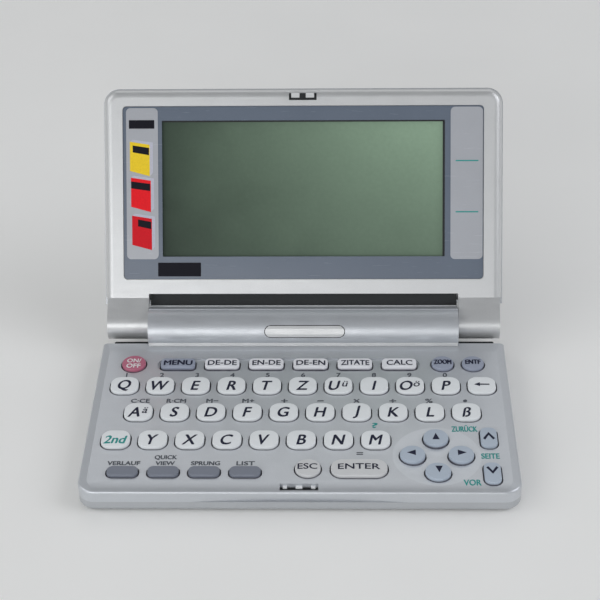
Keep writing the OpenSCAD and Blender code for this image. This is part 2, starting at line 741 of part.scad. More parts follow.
module lid_frame() on_lid() color("gainsboro") {
    difference() {
        union() {
            difference() {
                lid_shell(rim_step, crease_d, face_n, lid_seam_n, 0, frame_r);
                difference() {
                    lid_shell(rim_step + wall, crease_d + wall, face_n + wall, lid_seam_n + over, 0, frame_r - wall);
                    // wall over the barrel
                    block(-barrel_half - wall, barrel_half + wall, -frame_d - wall, 0, -barrel_r, barrel_r);
                }
            }
            mirrored() along_x(knuckle_x, frame_half - knuckle_in) knuckle_section();
            // seat of the window
            translate([0, -window_mid, face_n + wall / 2])
                slab(window_w + 2 * wall, window_h + 2 * wall, driver_n - face_n - wall / 2 - rest_gap / 2, window_r + wall);
            // floor of the latch pocket
            block(-pocket_w / 2 - 1, pocket_w / 2 + 1, -frame_reach + wall / 2, -window_high - wall / 2,
                face_n + wall / 2, face_n + frame_t - wall / 2);
        }
        block(-knuckle_x, knuckle_x, -frame_d, barrel_r + over, -barrel_r - over, barrel_r + over);
        translate([0, -window_mid, face_n - over])
            slab(window_w + 2 * seam_play, window_h + 2 * seam_play, seat_n - face_n + over, window_r + seam_play);
        translate([0, -window_mid, face_n])
            slab(window_w - 2 * ledge_w, window_h - 2 * ledge_w, 2 * frame_t, window_r);
        block(-pocket_w / 2, pocket_w / 2, -pocket_d - slot_d / 2, -pocket_d + slot_d / 2, -barrel_r, face_n + pocket_t);
        mirrored() translate([knuckle_x - over, 0, 0]) rotate([0, 90, 0]) cylinder(r = pin_r, h = pin_reach + over);
    }
    hooks();
}

module lid_cover() on_lid() color("silver") {
    difference() {
        lid_shell(0, skirt_d, lid_seam_n + seam_play, back_n, cover_r, 0);
        difference() {
            lid_shell(wall, skirt_d + wall, 0, back_n - wall, cover_r - wall, 0);
            // rib that closes the lid over the barrel
            block(-barrel_half, barrel_half, -frame_d - wall, -frame_d, 0, barrel_r);
        }
    }
    // tongue inside the frame, on a shelf along the cover's wall
    difference() {
        union() {
            lid_shell(wall - touch, frame_d + touch, lid_seam_n + seam_play, lid_seam_n + wall, 0, 0);
            lid_shell(tongue_in, frame_d + wall + seam_play, lid_seam_n - tongue_h, lid_seam_n + wall, 0, 0);
        }
        lid_shell(tongue_in + tongue_t, frame_d + wall + tongue_t, 0, barrel_r, 0, 0);
    }
}

module display_window() on_lid() color("slategray", 0.6) translate([0, -window_mid, window_n])
    slab(window_w, window_h, window_t, window_r);

module display_panel() on_lid() {
    color("darkseagreen") translate([0, -glass_d, glass_n]) slab(glass_w, glass_h, glass_t + pin_play, 0.6);
    color("seagreen") translate([0, -window_mid, driver_n])
        slab(window_w - driver_in, window_h - driver_in, driver_t, window_r);
}

// Room over a dome of the mat
module hollow() {
    translate([0, 0, collar_z - over]) cylinder(r = dome_r + pin_play, h = over + key_travel);
}

// A cap with its collar under the deck, hollow over the mat's dome
module keycap(c) {
    collar = grown(c, key_gap + collar_w);
    crown = ball(c, key_crown);
    difference() {
        union() {
            intersection() {
                translate([0, 0, collar_z]) slab(c.x, c.y, key_z - collar_z, c.z, key_edge);
                translate([0, 0, key_z - crown]) sphere(crown, $fn = 180);
            }
            translate([0, 0, collar_z]) slab(collar.x, collar.y, collar_t, collar.z);
        }
        hollow();
    }
}

function key_colour(kind) = kind == "letter" ? "whitesmoke" : kind == "power" ? "palevioletred"
    : kind == "bar" || kind == "escape" || kind == "enter" ? "gainsboro" : "lightslategray";

module key(k) on_base() color(key_colour(k[1])) translate([k[2], -k[3], 0]) keycap(cap(k[1]));

// Four caps on one strip
module shortcut_keys() on_base() color("lightslategray") difference() {
    union() {
        for (x = OVALS) translate([x, -oval_row_d, 0]) keycap(cap("oval"));
        block(OVALS[0], OVALS[3], -oval_row_d - oval_d / 4, -oval_row_d + oval_d / 4, collar_z + collar_t / 2, collar_top);
    }
    for (x = OVALS) translate([x, -oval_row_d, 0]) hollow();
}

base_top_case();
base_bottom_case();
battery_cover();
batteries();
keypad_mat();
main_board();
base_screws();
rubber_feet();
hinge_pins();
lid_frame();
lid_cover();
display_window();
display_panel();
for (k = KEYS) key(k);
shortcut_keys();
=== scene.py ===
"""Looks of a pocket electronic dictionary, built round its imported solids."""
import logging
import math
from collections.abc import Sequence
from dataclasses import dataclass, field
from enum import Enum

import bpy
from mathutils import Matrix, Vector


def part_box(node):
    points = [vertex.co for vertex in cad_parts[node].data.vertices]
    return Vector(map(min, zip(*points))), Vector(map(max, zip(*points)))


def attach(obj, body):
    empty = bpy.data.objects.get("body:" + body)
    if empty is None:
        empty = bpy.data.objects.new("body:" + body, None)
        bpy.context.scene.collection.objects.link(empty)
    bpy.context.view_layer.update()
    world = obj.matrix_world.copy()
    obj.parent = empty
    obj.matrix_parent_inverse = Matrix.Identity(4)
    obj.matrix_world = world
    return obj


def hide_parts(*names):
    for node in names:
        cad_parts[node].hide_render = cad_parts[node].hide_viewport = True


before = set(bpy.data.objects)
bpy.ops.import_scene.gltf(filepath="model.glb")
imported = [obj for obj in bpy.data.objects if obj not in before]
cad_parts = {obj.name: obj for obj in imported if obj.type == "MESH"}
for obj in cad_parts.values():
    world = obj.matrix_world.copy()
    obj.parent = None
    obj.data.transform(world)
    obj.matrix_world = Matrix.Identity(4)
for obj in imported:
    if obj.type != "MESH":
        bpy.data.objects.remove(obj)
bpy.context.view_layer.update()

LOG = logging.getLogger("dictionary")
MM = 0.001
PRINT_Z = 12.0      # height over the table from which prints are dropped on keys and deck, in mm
CAPITAL = 0.73      # height of a capital letter as a share of the font's size
Colour = tuple[float, float, float]
Pair = tuple[float, float]
Box = tuple[float, float, float, float]


def silver(level: float) -> Colour:
    """A cool grey of this lightness."""
    return level * 0.975, level * 0.99, level


class Value:
    """A number in a node tree, with the arithmetic that the finishes use."""

    def __init__(self, tree: "Tree", socket: bpy.types.NodeSocket) -> None:
        """Keeps the tree that the number belongs to and the socket that gives it."""
        self.tree = tree
        self.socket = socket

    def maths(self, operation: str, *others: "Value | float", first: "Value | float | None" = None,
              clamp: bool = False) -> "Value":
        """Adds one Math node.

        Args:
            operation: name of the Math node's operation.
            others: the further operands.
            first: what stands before this value, for the reflected forms.
            clamp: whether the result is held between 0 and 1.

        Returns:
            The node's result.
        """
        operands = [self, *others] if first is None else [first, self]
        made = self.tree.node("ShaderNodeMath", {"operation": operation, "use_clamp": clamp},
                              dict(enumerate(operands)))
        return Value(self.tree, made.outputs[0])

    def __add__(self, other: "Value | float") -> "Value":
        """Sum."""
        return self.maths("ADD", other)

    def __sub__(self, other: "Value | float") -> "Value":
        """Difference."""
        return self.maths("SUBTRACT", other)

    def __rsub__(self, other: float) -> "Value":
        """Difference from a plain number."""
        return self.maths("SUBTRACT", first=other)

    def __mul__(self, other: "Value | float") -> "Value":
        """Product."""
        return self.maths("MULTIPLY", other)

    __radd__ = __add__
    __rmul__ = __mul__

    def between(self, low: float, high: float) -> "Value":
        """Rises smoothly from 0 at low to 1 at high, or falls where high is the lower one."""
        falls = high < low
        return self.tree.fade(self, *sorted((low, high)), float(falls), float(not falls))


class Tree:
    """A tree of nodes, of a material or of the world."""

    def __init__(self, owner: bpy.types.Material | bpy.types.World) -> None:
        """Empties the owner's tree.

        Args:
            owner: what the tree belongs to.
        """
        owner.use_nodes = True
        self.nodes = owner.node_tree.nodes
        self.links = owner.node_tree.links
        self.nodes.clear()

    def node(self, kind: str, settings: dict[str, object] | None = None,
             sockets: dict[str | int, object] | None = None) -> bpy.types.Node:
        """Adds a node.

        Args:
            kind: the node's type.
            settings: its properties.
            sockets: a number, colour, socket or Value for each input.

        Returns:
            The new node.
        """
        made = self.nodes.new(kind)
        for name, setting in (settings or {}).items():
            setattr(made, name, setting)
        for name, given in (sockets or {}).items():
            source = given.socket if isinstance(given, Value) else given
            if isinstance(source, bpy.types.NodeSocket):
                self.links.new(source, made.inputs[name])
            else:
                made.inputs[name].default_value = source
        return made

    def fade(self, value: Value, low: float, high: float, start: float, end: float) -> Value:
        """Goes smoothly from start, where the value is low or less, to end, where it is high or more."""
        made = self.node("ShaderNodeMapRange", {"interpolation_type": "SMOOTHSTEP"},
                         dict(enumerate((value, low, high, start, end))))
        return Value(self, made.outputs[0])

    def coordinate(self, letter: str, point: bpy.types.NodeSocket) -> Value:
        """One coordinate of a point."""
        return Value(self, self.node("ShaderNodeSeparateXYZ", None, {0: point}).outputs[letter])


class Paint(Tree):
    """The node tree of one material."""

    def __init__(self, name: str) -> None:
        """Makes an empty material with its output node.

        Args:
            name: the material's name.
        """
        self.material = bpy.data.materials.new(name)
        super().__init__(self.material)
        self.output = self.node("ShaderNodeOutputMaterial")
        self.place = self.node("ShaderNodeTexCoord").outputs["Object"]

    def axis(self, letter: str) -> Value:
        """One coordinate of the surface's point, in metres."""
        return self.coordinate(letter, self.place)

    def grain(self, size: float, detail: float = 2.0, stretch: Colour = (1.0, 1.0, 1.0)) -> Value:
        """Noise round 0.

        Args:
            size: about the size of its grains, in millimetres.
            detail: how many finer grains it has in them.
            stretch: scale along each axis, under 1 for longer grains.

        Returns:
            The noise.
        """
        place = self.node("ShaderNodeMapping", None, {"Vector": self.place, "Scale": stretch}).outputs[0]
        made = self.node("ShaderNodeTexNoise", None,
                         {"Vector": place, "Scale": 1.0 / (size * MM), "Detail": detail})
        return Value(self, made.outputs[0]) - 0.5

    def scaled(self, colour: Colour | bpy.types.NodeSocket, by: Value) -> bpy.types.NodeSocket:
        """A colour made lighter or darker."""
        return self.node("ShaderNodeVectorMath", {"operation": "SCALE"}, {0: colour, "Scale": by}).outputs[0]

    def mixed(self, mask: Value, under: object, over: object) -> bpy.types.NodeSocket:
        """Lays one colour over another where the mask is 1."""
        pair = [(*c, 1.0) if isinstance(c, tuple) else c for c in (under, over)]
        return self.node("ShaderNodeMix", {"data_type": "RGBA"}, {0: mask, 6: pair[0], 7: pair[1]}).outputs[2]

    def raised(self, height: Value, depth: float) -> bpy.types.NodeSocket:
        """A bump of this depth in millimetres."""
        return self.node("ShaderNodeBump", None,
                         {"Height": height, "Distance": depth * MM, "Strength": 1.0}).outputs[0]

    def finish(self, **sockets: object) -> bpy.types.Material:
        """Ends the tree in one Principled shader.

        Args:
            sockets: its inputs, with underscores in place of the spaces in their names.

        Returns:
            The finished material.
        """
        named = {name.replace("_", " "): value for name, value in sockets.items()}
        shader = self.node("ShaderNodeBsdfPrincipled", None, named)
        self.links.new(shader.outputs[0], self.output.inputs[0])
        return self.material


@dataclass(frozen=True)
class Finish:
    """What a surface is made of, under the name of its material."""

    name: str
    colour: Colour

    def material(self) -> bpy.types.Material:
        """The finish's material, made once."""
        return bpy.data.materials.get(self.name) or self.paint(Paint(self.name))

    def paint(self, paint: Paint) -> bpy.types.Material:
        """Builds the node tree."""
        raise NotImplementedError


@dataclass(frozen=True)
class Lacquer(Finish):
    """Silver lacquer on moulded plastic: fine flakes, a soft orange peel and light rubbing."""

    flake: float = 0.10
    roughness: float = 0.38
    metallic: float = 0.55

    def shade(self, paint: Paint) -> Value | float:
        """Painted light in the colour from place to place, as a factor; none on plain lacquer."""
        return 1.0

    def paint(self, paint: Paint) -> bpy.types.Material:
        """Flakes and blotches in the colour, rub marks in the gloss.

        Args:
            paint: the empty material.

        Returns:
            The finished material.
        """
        flakes = paint.grain(0.16, 1.0)
        blotches = paint.grain(9.0, 3.0)
        rubbing = paint.grain(1.6, 4.0, (0.35, 1.0, 1.0))
        # tone carries the painted light that shade() gives
        tone = (flakes * self.flake * 2.0 + blotches * 0.07 + 1.0) * self.shade(paint)
        return paint.finish(
            Base_Color=paint.scaled(self.colour, tone), Metallic=self.metallic,
            Roughness=(rubbing * 0.22 + blotches * 0.10 + self.roughness).maths("MAXIMUM", 0.12),
            Normal=paint.raised(flakes * 0.5 + paint.grain(0.7) * 0.6, 0.012),
            Coat_Weight=0.4, Coat_Roughness=0.2)


@dataclass(frozen=True)
class Deck(Lacquer):
    """Lacquer of the upper case with painted light: a shade lighter in the round dish of the arrow keys, for
    the shading of its shallow hollow.
    """

    middle: Pair = (39.75, -45.31)
    radius: float = 12.85
    edge: float = 0.25
    painted_light: float = 0.10

    def shade(self, paint: Paint) -> Value:
        """Painted light inside the dish, standing in for the shading of its shallow hollow.

        Args:
            paint: the material.

        Returns:
            A factor, over 1 inside the dish where the light is painted.
        """
        across = paint.axis("X") - self.middle[0] * MM
        along = paint.axis("Y") - self.middle[1] * MM
        away = (across * across + along * along).maths("SQRT")
        inside = away.between((self.radius + self.edge) * MM, (self.radius - self.edge) * MM)
        # painted light: the colour is a shade lighter inside the dish
        return inside * self.painted_light + 1.0


@dataclass(frozen=True)
class Moulded(Finish):
    """Moulded key cap: eggshell grain, and painted shade low on its side where it dips under the deck."""

    roughness: float = 0.42
    gap_shade_colour: Colour = (0.16, 0.16, 0.20)
    deck: float = 8.2

    def paint(self, paint: Paint) -> bpy.types.Material:
        """Painted shade low on the cap's side, fine wear on its top.

        Args:
            paint: the empty material.

        Returns:
            The finished material.
        """
        height = paint.axis("Z")
        wear = paint.grain(2.4, 4.0)
        # painted shade: the cap darkens towards its foot, where it dips into the shaded gap under the deck
        low = height.between((self.deck + 0.30) * MM, (self.deck - 0.25) * MM)
        painted_gap_shade = (low + wear * low * 0.8).maths("MULTIPLY", 0.92, clamp=True)
        tone = paint.grain(0.35) * 0.05 + wear * 0.09 + 1.0
        return paint.finish(
            Base_Color=paint.mixed(painted_gap_shade, paint.scaled(self.colour, tone), self.gap_shade_colour),
            Roughness=wear * 0.25 + self.roughness, Normal=paint.raised(paint.grain(0.28, 3.0), 0.010))


@dataclass(frozen=True)
class Ink(Finish):
    """Screen-printed ink with slightly uneven cover."""

    roughness: float = 0.5

    def paint(self, paint: Paint) -> bpy.types.Material:
        """Uneven cover in colour and gloss.

        Args:
            paint: the empty material.

        Returns:
            The finished material.
        """
        cover = paint.grain(0.5, 3.0)
        return paint.finish(Base_Color=paint.scaled(self.colour, cover * 0.25 + 1.0),
                            Roughness=cover * 0.3 + self.roughness, Specular_IOR_Level=0.15,
                            Normal=paint.raised(cover, 0.004))


@dataclass(frozen=True)
class WindowPrint(Finish):
    """Colour printed behind a clear, glossy window, with dust and hairline scratches on it."""

    gloss: float = 0.22

    def paint(self, paint: Paint) -> bpy.types.Material:
        """A faint flake in the print, hairlines in the gloss.

        Args:
            paint: the empty material.

        Returns:
            The finished material.
        """
        flakes = paint.grain(0.20, 1.0)
        cloud = paint.grain(14.0)
        hairlines = paint.grain(0.5, 2.0, (0.06, 1.0, 1.0)).between(0.16, 0.24)
        return paint.finish(
            Base_Color=paint.scaled(self.colour, flakes * 0.10 + cloud * 0.10 + 1.0),
            Roughness=hairlines * 0.22 + cloud * 0.08 + self.gloss, Coat_Weight=0.25, Coat_Roughness=0.10,
            Normal=paint.raised(cloud, 0.02))


@dataclass(frozen=True)
class LiquidCrystal(Finish):
    """Switched-off display: green-grey with its fine grid of dots, and a painted reflection that makes it
    lighter to the right and upwards.
    """

    painted_reflection_end: Colour = (0.32, 0.46, 0.33)
    pitch: float = 0.35

    def paint(self, paint: Paint) -> bpy.types.Material:
        """A painted reflection as a slow change of tone across the glass, and the rows of dots under it.

        Args:
            paint: the empty material.

        Returns:
            The finished material.
        """
        across = paint.axis("X")
        up = paint.axis("Z")
        # painted reflection: the tone rises to the right and upwards
        tone = ((across * 9.5 + 0.5) * (up * 13.6 + 0.10)).maths("ADD", paint.grain(22.0) * 0.15, clamp=True)
        dots = [place.maths("MULTIPLY", math.tau / (self.pitch * MM)).maths("SINE") for place in (across, up)]
        grid = dots[0].maths("MAXIMUM", dots[1])
        base = paint.mixed(tone, self.colour, self.painted_reflection_end)
        return paint.finish(Base_Color=paint.scaled(base, grid * 0.02 + paint.grain(1.2, 5.0) * 0.16 + 1.0),
                            Roughness=paint.grain(3.0) * 0.1 + 0.42, Specular_IOR_Level=0.2,
                            Coat_Weight=0.05, Coat_Roughness=0.2)


@dataclass(frozen=True)
class Metal(Finish):
    """Plated steel with turning marks."""

    roughness: float = 0.3

    def paint(self, paint: Paint) -> bpy.types.Material:
        """Fine marks in gloss and relief.

        Args:
            paint: the empty material.

        Returns:
            The finished material.
        """
        marks = paint.grain(0.25, 3.0, (1.0, 0.2, 1.0))
        return paint.finish(Base_Color=paint.scaled(self.colour, marks * 0.2 + 1.0), Metallic=1.0,
                            Roughness=marks * 0.3 + self.roughness, Normal=paint.raised(marks, 0.01))


@dataclass(frozen=True)
class Soft(Finish):
    """Rubber: matt, with a dusty bloom."""

    def paint(self, paint: Paint) -> bpy.types.Material:
        """Dust in the colour, a pitted surface.

        Args:
            paint: the empty material.

        Returns:
            The finished material.
        """
        bloom = paint.grain(1.1, 4.0)
        return paint.finish(Base_Color=paint.scaled(self.colour, bloom * 0.5 + 1.0),
                            Roughness=bloom * 0.2 + 0.8, Normal=paint.raised(paint.grain(0.15), 0.02))


@dataclass(frozen=True)
class Board(Finish):
    """Circuit board: solder mask over the lighter and darker pattern of its tracks."""

    lane: float = 1.1

    def paint(self, paint: Paint) -> bpy.types.Material:
        """Tracks as bands of tone along x and y.

        Args:
            paint: the empty material.

        Returns:
            The finished material.
        """
        lanes = [(paint.axis(a) * (math.tau / (self.lane * MM))).maths("SINE").between(0.55, 0.8)
                 for a in "XY"]
        fields = paint.grain(6.0).between(-0.02, 0.02)
        tracks = lanes[0] * fields + lanes[1] * (1.0 - fields)
        return paint.finish(Base_Color=paint.scaled(self.colour, tracks * 0.7 + 0.8),
                            Roughness=tracks * 0.1 + 0.35, Normal=paint.raised(tracks, 0.03))


@dataclass(frozen=True)
class CellSleeve(Finish):
    """Sleeve of a battery: dark along most of its length, with a bright band at the nub's end."""

    band: Colour = (0.75, 0.52, 0.20)
    length: float = 44.5

    def paint(self, paint: Paint) -> bpy.types.Material:
        """The band repeats with each cell.

        Args:
            paint: the empty material.

        Returns:
            The finished material.
        """
        along = (paint.axis("X") * (1.0 / (self.length * MM)) + 2.0).maths("FRACT")
        band = along.between(0.66, 0.67)
        sleeve = paint.mixed(band, self.colour, self.band)
        return paint.finish(Base_Color=paint.scaled(sleeve, paint.grain(3.0) * 0.2 + 1.0),
                            Metallic=0.6, Roughness=paint.grain(1.5) * 0.2 + 0.35)


@dataclass(frozen=True)
class Table(Finish):
    """Pale table top, nearly white."""

    def paint(self, paint: Paint) -> bpy.types.Material:
        """Very soft mottling.

        Args:
            paint: the empty material.

        Returns:
            The finished material.
        """
        cloud = paint.grain(45.0, 3.0)
        return paint.finish(Base_Color=paint.scaled(self.colour, cloud * 0.05 + 1.0),
                            Roughness=cloud * 0.1 + 0.7)


CASE = Lacquer("case_lacquer", (0.49, 0.51, 0.535))
DECK = Deck("deck_lacquer", (0.585, 0.61, 0.645))
# light lacquer: the latch teeth's own colour, and a painted highlight for the slot lip
LIGHT_TRIM_AND_HIGHLIGHT = Lacquer("light_trim_and_painted_highlight", silver(0.95), metallic=0.1)
LID_FRONT = Lacquer("lid_frame_lacquer", silver(0.66))
WHITE_KEY = Moulded("white_key", (0.84, 0.87, 0.89))
PALE_KEY = Moulded("pale_key", (0.66, 0.67, 0.68))
BAR_KEY = Moulded("bar_key", (0.83, 0.84, 0.88))
BLUE_KEY = Moulded("blue_grey_key", (0.33, 0.365, 0.46))
ARROW_KEY = Moulded("arrow_key", (0.46, 0.53, 0.62))
GREY_KEY = Moulded("shortcut_key", (0.20, 0.22, 0.27))
RED_KEY = Moulded("power_key", (0.49, 0.14, 0.22))
NAVY_INK = Ink("navy_ink", (0.018, 0.020, 0.045))
GREY_INK = Ink("grey_ink", (0.10, 0.11, 0.13))
WHITE_INK = Ink("white_ink", (0.80, 0.80, 0.80))
TEAL_INK = Ink("teal_ink", (0.04, 0.32, 0.30))
BLACK_INK = Ink("black_ink", (0.006, 0.006, 0.012))
WINDOW_BLUE = WindowPrint("window_blue_grey", (0.125, 0.155, 0.205))
PANEL_GREY = WindowPrint("side_panel_grey", (0.42, 0.435, 0.47))
DISPLAY = LiquidCrystal("liquid_crystal", (0.022, 0.038, 0.026))
BOOK_YELLOW = Ink("book_yellow", (0.90, 0.64, 0.03))
BOOK_RED = Ink("book_red", (0.85, 0.012, 0.02))
BOOK_CRIMSON = Ink("book_crimson", (0.68, 0.010, 0.02))
PAPER = Ink("paper", (0.52, 0.53, 0.62))
STEEL = Metal("plated_steel", (0.55, 0.55, 0.57))
# black sheets of painted shade in recesses and gaps
SHADE_BLACK = Soft("painted_shade_black", (0.035, 0.038, 0.040))
RUBBER = Soft("foot_elastomer", (0.03, 0.03, 0.032))
SILICONE = Soft("keypad_silicone", (0.30, 0.31, 0.32))
SOLDER_MASK = Board("solder_mask", (0.02, 0.14, 0.06))
SLEEVE = CellSleeve("battery_sleeve", (0.02, 0.02, 0.02))
TABLE_TOP = Table("table_top", (0.97, 0.97, 0.955))


class Bench:
    """Modelling by hand: one piece at a time on the bench."""

    @staticmethod
    def alone(piece: bpy.types.Object) -> bpy.types.Object:
        """Makes a piece the only one selected.

        Args:
            piece: the piece.

        Returns:
            The same piece.
        """
        bpy.ops.object.select_all(action="DESELECT")
        piece.select_set(True)
        bpy.context.view_layer.objects.active = piece
        return piece

    @classmethod
    def named(cls, name: str, place: Matrix) -> bpy.types.Object:
        """Takes the piece just added, names it and moves its mesh into place.

        Args:
            name: the piece's name.
            place: where its mesh goes in the object's frame.

        Returns:
            The piece, with its object at the origin.
        """
        piece = cls.alone(bpy.context.active_object)
        if piece.type != "MESH":
            bpy.ops.object.convert(target="MESH")
            piece = bpy.context.active_object
        bpy.ops.object.transform_apply(location=True, rotation=True, scale=True)
        piece.data.transform(place)
        piece.name = piece.data.name = name
        return piece

    @classmethod
    def plate(cls, name: str, size: Pair, radius: float, thick: float, place: Matrix,
              cuts: int = 0) -> bpy.types.Object:
        """A flat plate with rounded corners.

        Args:
            name: the piece's name.
            size: width and height in millimetres.
            radius: of the corners, in millimetres.
            thick: thickness in millimetres, upwards from the place.
            place: where the middle of its lower face goes.
            cuts: into how many strips it is cut each way, for a plate that is wrapped later.

        Returns:
            The plate.
        """
        bpy.ops.object.select_all(action="DESELECT")
        bpy.ops.mesh.primitive_plane_add(size=1)
        plate = bpy.context.active_object
        plate.scale = (size[0] * MM, size[1] * MM, 1)
        bpy.ops.object.transform_apply(scale=True)
        bpy.ops.object.mode_set(mode="EDIT")
        bpy.ops.mesh.select_all(action="SELECT")
        bpy.ops.mesh.bevel(offset=radius * MM, segments=8, affect="VERTICES")
        for step in range(1, cuts):
            for normal, reach in (((1, 0, 0), size[0]), ((0, 1, 0), size[1])):
                bpy.ops.mesh.select_all(action="SELECT")
                at = (step / cuts - 0.5) * reach * MM
                bpy.ops.mesh.bisect(plane_co=[at * n for n in normal], plane_no=normal)
        if thick > 0:
            bpy.ops.mesh.select_all(action="SELECT")
            bpy.ops.mesh.extrude_region_move(TRANSFORM_OT_translate={"value": (0, 0, thick * MM)})
            bpy.ops.mesh.select_all(action="SELECT")
            bpy.ops.mesh.normals_make_consistent(inside=False)
        bpy.ops.object.mode_set(mode="OBJECT")
        return cls.named(name, place)

    @classmethod
    def outline(cls, name: str, points: Sequence[Pair], place: Matrix,
                thick: float = 0.0) -> bpy.types.Object:
        """A flat piece with straight edges.

        Args:
            name: the piece's name.
            points: its corners in order, in millimetres.
            place: where its origin goes.
            thick: thickness in millimetres, upwards from the place.

        Returns:
            The piece.
        """
        bpy.ops.object.select_all(action="DESELECT")
        bpy.ops.mesh.primitive_circle_add(vertices=len(points), radius=MM, fill_type="NGON")
        piece = bpy.context.active_object
        for vertex, point in zip(piece.data.vertices, points):
            vertex.co = (point[0] * MM, point[1] * MM, 0)
        bpy.ops.object.mode_set(mode="EDIT")
        bpy.ops.mesh.select_all(action="SELECT")
        bpy.ops.mesh.quads_convert_to_tris()
        if thick > 0:
            bpy.ops.mesh.extrude_region_move(TRANSFORM_OT_translate={"value": (0, 0, thick * MM)})
            bpy.ops.mesh.select_all(action="SELECT")
        bpy.ops.mesh.normals_make_consistent(inside=False)
        bpy.ops.object.mode_set(mode="OBJECT")
        return cls.named(name, place)

    @classmethod
    def modify(cls, piece: bpy.types.Object, kind: str, **settings: object) -> None:
        """Adds a modifier to a piece and applies it.

        Args:
            piece: the piece.
            kind: the modifier's type.
            settings: its properties.
        """
        cls.alone(piece)
        modifier = piece.modifiers.new(kind.lower(), kind)
        for name, value in settings.items():
            setattr(modifier, name, value)
        bpy.ops.object.modifier_apply(modifier=modifier.name)

    @classmethod
    def cut(cls, piece: bpy.types.Object, cutter: bpy.types.Object) -> None:
        """Cuts the cutter out of the piece and throws the cutter away."""
        cls.modify(piece, "BOOLEAN", operation="DIFFERENCE", object=cutter, solver="EXACT")
        bpy.data.objects.remove(cutter)

    @classmethod
    def lay_on(cls, piece: bpy.types.Object, node: str, gap: float = 0.05, thick: float = 0.04) -> None:
        """Drops a flat piece on a solid from above and gives it its thickness.

        Args:
            piece: the flat piece, over the place where it belongs.
            node: the solid that carries it.
            gap: how far its upper face lies over the solid, in millimetres.
            thick: its thickness in millimetres.
        """
        cls.modify(piece, "SHRINKWRAP", wrap_method="PROJECT", target=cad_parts[node],
                   use_project_z=True, use_negative_direction=True, use_positive_direction=False,
                   offset=gap * MM)
        cls.modify(piece, "SOLIDIFY", thickness=thick * MM, offset=-1)

    @classmethod
    def halve_edges(cls, piece: bpy.types.Object) -> None:
        """Gives a flat piece enough points to follow a curved surface.

        Args:
            piece: the flat piece.
        """
        cls.alone(piece)
        bpy.ops.object.mode_set(mode="EDIT")
        bpy.ops.mesh.select_all(action="SELECT")
        bpy.ops.mesh.quads_convert_to_tris()
        bpy.ops.mesh.subdivide(number_cuts=1)
        bpy.ops.object.mode_set(mode="OBJECT")

    @classmethod
    def printed(cls, name: str, strokes: list[bpy.types.Object], node: str) -> bpy.types.Object:
        """Lays flat strokes on a solid, each a little higher than the last, and joins them.

        Args:
            name: the joined piece's name.
            strokes: the flat pieces, over the place where they belong.
            node: the solid that carries them.

        Returns:
            The joined piece.
        """
        for layer, stroke in enumerate(strokes):
            cls.halve_edges(stroke)
            cls.lay_on(stroke, node, 0.04 + layer % 3 * 0.01)
        return cls.joined(name, strokes)

    @classmethod
    def joined(cls, name: str, parts: list[bpy.types.Object]) -> bpy.types.Object:
        """Joins parts of one finish into one piece.

        Args:
            name: the joined piece's name.
            parts: the parts.

        Returns:
            The joined piece.
        """
        cls.alone(parts[0])
        for part in parts:
            part.select_set(True)
        if len(parts) > 1:
            bpy.ops.object.join()
        piece = bpy.context.active_object
        piece.name = piece.data.name = name
        return piece


def dress(piece: bpy.types.Object, finish: Finish, body: str) -> None:
    """Gives a new piece its finish and puts it on its body.

    Args:
        piece: the finished mesh.
        finish: what it is made of.
        body: the body that carries it.
    """
    piece.data.materials.clear()
    piece.data.materials.append(finish.material())
    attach(piece, body)
    LOG.info("piece %s on %s, %d faces", piece.name, body, len(piece.data.polygons))


def coat(node: str, finish: Finish) -> None:
    """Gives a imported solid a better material.

    Args:
        node: the solid's node.
        finish: what it is made of.
    """
    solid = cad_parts[node]
    solid.data.materials.clear()
    solid.data.materials.append(finish.material())
    LOG.info("solid %s in %s", node, finish.name)


class Slant(Enum):
    """How far letters lean, as a share of their height."""

    UPRIGHT = 0.0
    ITALIC = 0.22


@dataclass(frozen=True)
class Legend:
    """One word or sign, as it is printed."""

    text: str
    height: float
    slant: Slant = Slant.UPRIGHT
    stretch: float = 1.0
    weight: float = 0.0
    at: Pair = (0.0, 0.0)
    width: float = 0.0

    def strokes(self, place: Matrix) -> list[bpy.types.Object]:
        """Sets the words as flat meshes, centred on their place.

        Args:
            place: the middle of the legend.

        Returns:
            One flat piece, or three of them side by side where the legend has a weight.
        """
        bpy.ops.object.select_all(action="DESELECT")
        bpy.ops.object.text_add()
        words = bpy.context.active_object.data
        words.body = self.text
        words.size = self.height * MM / CAPITAL
        words.shear = self.slant.value
        words.align_x, words.align_y = "CENTER", "CENTER"
        words.resolution_u = 4
        bpy.ops.object.convert(target="MESH")
        corners = [v.co for v in bpy.context.active_object.data.vertices]
        low = [min(c[i] for c in corners) for i in range(2)]
        high = [max(c[i] for c in corners) for i in range(2)]
        stretch = self.width * MM / (high[0] - low[0]) if self.width else self.stretch
        middle = Matrix.Translation((-(low[0] + high[0]) / 2, -(low[1] + high[1]) / 2, 0))
        shift = Matrix.Translation((self.at[0] * MM, self.at[1] * MM, 0))
        pieces = [Bench.named("stroke", place @ shift @ Matrix.Diagonal((stretch, 1, 1, 1)) @ middle)]
        for side in (-1, 1) if self.weight else ():
            Bench.alone(pieces[0])
            bpy.ops.object.duplicate()
            pieces.append(bpy.context.active_object)
            aside = side * self.weight * MM
            pieces[-1].data.transform(Matrix.Translation((aside, aside / 2, 0)))
        return pieces


